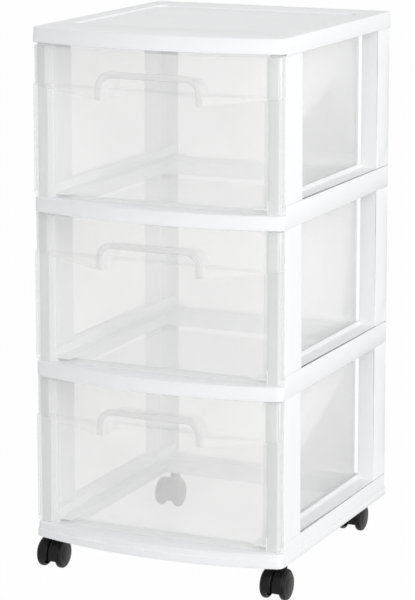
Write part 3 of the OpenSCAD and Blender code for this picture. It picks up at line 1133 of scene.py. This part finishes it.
@dataclass
class Caster:
    """A twin-wheel caster: a hood round two wheels on one axle, and the stem above it.

    Attributes:
        bore_deep: how far the axle reaches into a wheel.
        dome: how far the wheel's side stands out at its middle.
        ring_at: radius of the shallow turned ring, ring_w wide and ring_deep deep.
        face_steps: points from the wheel's middle to its tread.
        tread_steps: points round each of the tread's two rounded edges.
        valley_r: how far from the axle the valley between the hood's lobes lies.
        mark_from: the first mark's angle above level, and mark_sweep the angle to the last.
        mark_facing: the direction that the marks' height points in.
    """

    corner: Corner
    palette: Palette
    wheel_r: float = 17.5 * MM
    wheel_w: float = 7.5 * MM
    bore_r: float = 2.55 * MM
    bore_deep: float = 4.8 * MM
    dome: float = 1.8 * MM
    tread_r: float = 2.8 * MM
    rim_t: float = 3.0 * MM
    ring_at: float = 10.5 * MM
    ring_w: float = 1.0 * MM
    ring_deep: float = 0.4 * MM
    face_steps: int = 20
    tread_steps: int = 7
    edge_r: float = 0.4 * MM
    valley_r: float = 16.1 * MM
    mark_half: float = 1.7 * MM
    mark_w: float = 0.8 * MM
    mark_h: float = 1.4 * MM
    mark_count: int = 7
    mark_from: float = 5.0
    mark_sweep: float = 85.0
    mark_facing: Point = (0.0, -0.6, 0.8)

    def _wheel_profile(self) -> list[tuple[float, float]]:
        """Return the wheel's section, from the bore's inner end outwards and back."""
        points = [(self.bore_r, 0.0), (self.bore_r, self.bore_deep), (0.0, self.bore_deep)]
        face_r = self.wheel_r - self.tread_r
        # Domed side with a shallow turned ring
        for i in range(self.face_steps + 1):
            r = face_r * i / self.face_steps
            out = self.wheel_w + self.dome * (1 - (r / face_r) ** 2)
            if abs(r - self.ring_at) < self.ring_w / 2:
                out -= self.ring_deep
            points.append((r, out))
        # Both rounded edges of the tread, then the hollow back between rim and hub
        quarter = [math.pi / 2 * i / self.tread_steps for i in range(self.tread_steps + 1)]
        for a in quarter[1:]:
            out = self.wheel_w - self.tread_r * (1 - math.cos(a))
            points.append((face_r + self.tread_r * math.sin(a), out))
        for a in quarter:
            out = self.tread_r * (1 - math.sin(a))
            points.append((face_r + self.tread_r * math.cos(a), out))
        inner_r = self.wheel_r - self.rim_t
        hub_r = self.bore_r + self.rim_t
        deep = self.wheel_w - self.rim_t
        points += [(inner_r, 0.0), (inner_r, deep), (hub_r, deep), (hub_r, 0.0)]
        return points

    def _valley_marks(self) -> Sweep:
        """Return the short ribs across the valley between the hood's two lobes."""
        low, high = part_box("axle_" + self.corner.value)
        x, y, z = (low + high) / 2
        marks = Sweep(Section.FLAT, self.mark_w, self.mark_h, self.mark_facing)
        for i in range(self.mark_count):
            a = math.radians(self.mark_from + self.mark_sweep * i / (self.mark_count - 1))
            at_y = y - self.valley_r * math.cos(a)
            at_z = z + self.valley_r * math.sin(a)
            marks.along([(x - self.mark_half, at_y, at_z), (x + self.mark_half, at_y, at_z)])
        return marks

    def _wheel(self, which: WheelSide) -> None:
        """Make one wheel.

        Args:
            which: the wheel at the tower's side or the one further in.
        """
        node = f"wheel_{self.corner.value}_{which.value}"
        low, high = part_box(node)
        side = 1.0 if self.corner.on_right == (which is WheelSide.OUTER) else -1.0
        inner_x = low.x if side > 0 else high.x
        centre = (inner_x, (low.y + high.y) / 2, (low.z + high.z) / 2)
        piece = link_object(node + "_tyre", lathe(node, self._wheel_profile(), centre, side))
        piece.data.materials.append(self.palette.get(BLACK_WHEEL))
        put_on(piece, node, Slot.WHEEL, node)

    def build(self) -> None:
        """Make the hood and both wheels, and dress the steel that carries them."""
        node = "hood_" + self.corner.value
        body = "caster_" + self.corner.value
        black = self.palette.get(BLACK_HOOD)
        hood = rounded(merged_copy(node), node + "_shell", self.edge_r)
        hood.data.materials.append(black)
        put_on(hood, body, Slot.HOOD, node)
        put_on(self._valley_marks().build(node + "_valley_marks", black), body, Slot.HOOD)
        for which in WheelSide:
            self._wheel(which)
        for steel in ("stem_", "axle_"):
            dress(steel + self.corner.value, self.palette.get(ZINC_STEEL))


def dress(node: str, material: bpy.types.Material) -> None:
    """Give a CAD node that stays its finish."""
    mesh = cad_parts[node].data
    mesh.materials.clear()
    mesh.materials.append(material)


# ---- studio ----------------------------------------------------------------------------


@dataclass(frozen=True)
class Studio:
    """Camera, soft lights, a pale floor and a white world.

    Attributes:
        azimuth: how far the camera looks to the left of straight at the back.
        elevation: how far it looks down.
        shift_up: the lens's shift in shares of the picture's longer side, below 0 downwards.
        sight: how far the camera sees.
        sky: strength of the white world as a light.
        key_aim: the point that the key light faces.
        floor_glow: the floor's own light, and floor_even its share next to the paint's.
        floor_white: the share of plain white in the floor where it is seen.
        most_faces: how many clear faces one line of sight may cross.
    """

    camera_at: Point = (1281.4 * MM, -2823.9 * MM, 987.0 * MM)
    azimuth: float = math.radians(24.516)
    elevation: float = math.radians(9.966)
    lens_mm: float = 155.1
    sensor_mm: float = 36.0
    shift_up: float = -100 / 600
    sight: float = 100.0
    sky: float = 0.62
    key_at: Point = (2.3, -1.75, 1.5)
    key_aim: Point = (0.0, 0.0, 0.33)
    key_power: float = 47.0
    key_size: float = 2.0
    floor_half: float = 15.0
    floor_paint: str = "#F2F2F2"
    floor_glow: float = 0.75
    floor_even: float = 0.6
    floor_white: float = 0.97
    most_faces: int = 32

    def camera(self) -> None:
        """Set the camera at the photograph's place, with its downward shift."""
        data = bpy.data.cameras.new("camera")
        data.lens = self.lens_mm
        data.sensor_width = self.sensor_mm
        data.sensor_fit = "AUTO"
        data.shift_y = self.shift_up
        data.clip_end = self.sight
        made = bpy.data.objects.new("camera", data)
        bpy.context.scene.collection.objects.link(made)
        look = Vector(
            (
                -math.sin(self.azimuth) * math.cos(self.elevation),
                math.cos(self.azimuth) * math.cos(self.elevation),
                -math.sin(self.elevation),
            )
        )
        made.location = self.camera_at
        made.rotation_mode = "QUATERNION"
        made.rotation_quaternion = look.to_track_quat("-Z", "Y")
        bpy.context.scene.camera = made

    def _seen_ray(self, tree: bpy.types.NodeTree) -> bpy.types.NodeSocket:
        """Return 1 for rays that show the background, straight or in gloss or through glass."""
        path = add(tree, "ShaderNodeLightPath")
        gloss = add(
            tree,
            "ShaderNodeMath",
            {0: path.outputs["Is Camera Ray"], 1: path.outputs["Is Glossy Ray"]},
            operation="MAXIMUM",
        )
        return add(
            tree,
            "ShaderNodeMath",
            {0: gloss.outputs[0], 1: path.outputs["Is Transmission Ray"]},
            operation="MAXIMUM",
        ).outputs[0]

    def world(self) -> None:
        """Make a world that is white to look at and softer as a light."""
        world = bpy.data.worlds.new("white_room")
        world.use_nodes = True
        tree = world.node_tree
        tree.nodes.clear()
        light, seen = (
            add(tree, "ShaderNodeBackground", {"Color": linear(WHITE), "Strength": strength})
            for strength in (self.sky, 1.0)
        )
        mixed = add(
            tree,
            "ShaderNodeMixShader",
            {0: self._seen_ray(tree), 1: light.outputs[0], 2: seen.outputs[0]},
        )
        add(tree, "ShaderNodeOutputWorld", {"Surface": mixed.outputs[0]})
        bpy.context.scene.world = world

    def floor(self) -> None:
        """Lay the pale floor, which looks white but keeps a soft shadow of the tower."""
        mesh = bpy.data.meshes.new("floor")
        s = self.floor_half
        mesh.from_pydata([(-s, -s, 0), (s, -s, 0), (s, s, 0), (-s, s, 0)], [], [(0, 1, 2, 3)])
        floor = link_object("floor", mesh)
        made = bpy.data.materials.new("pale_floor_paint")
        made.use_nodes = True
        tree = made.node_tree
        tree.nodes.clear()
        paint = add(tree, "ShaderNodeBsdfDiffuse", {"Color": linear(self.floor_paint)})
        glow, white = (
            add(tree, "ShaderNodeEmission", {"Color": linear(WHITE), "Strength": strength})
            for strength in (self.floor_glow, 1.0)
        )
        lit = add(
            tree,
            "ShaderNodeMixShader",
            {0: self.floor_even, 1: paint.outputs[0], 2: glow.outputs[0]},
        )
        share = add(
            tree,
            "ShaderNodeMath",
            {0: self._seen_ray(tree), 1: self.floor_white},
            operation="MULTIPLY",
        )
        mixed = add(
            tree,
            "ShaderNodeMixShader",
            {0: share.outputs[0], 1: lit.outputs[0], 2: white.outputs[0]},
        )
        add(tree, "ShaderNodeOutputMaterial", {"Surface": mixed.outputs[0]})
        mesh.materials.append(made)

    def lights(self) -> None:
        """Hang the large soft key light to the right of the tower."""
        data = bpy.data.lights.new("key_softbox", "AREA")
        data.shape = "SQUARE"
        data.size = self.key_size
        data.energy = self.key_power
        lamp = bpy.data.objects.new("key_softbox", data)
        lamp.location = self.key_at
        aim = Vector(self.key_aim) - Vector(self.key_at)
        lamp.rotation_mode = "QUATERNION"
        lamp.rotation_quaternion = aim.to_track_quat("-Z", "Y")
        bpy.context.scene.collection.objects.link(lamp)

    def build(self) -> None:
        """Set up everything that isn't part of the tower."""
        self.camera()
        self.world()
        self.floor()
        self.lights()
        scene = bpy.context.scene
        scene.view_settings.view_transform = "Standard"
        # Each clear wall is two faces, and a line of sight crosses up to six walls
        scene.cycles.transparent_max_bounces = self.most_faces


def main() -> None:
    """Build the tower, piece by piece, and the studio round it."""
    logging.basicConfig(level=logging.INFO, format="%(name)s: %(message)s")
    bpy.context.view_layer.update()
    palette = Palette()
    Studio().build()
    TopPanel(palette).build()
    for tier in Tier:
        FrameMoulding(tier, palette).build()
        Drawer(tier, palette).build()
    for corner in Corner:
        Caster(corner, palette).build()
    dress("stem_grip_rings", palette.get(ZINC_STEEL))


if __name__ == "__main__":
    main()
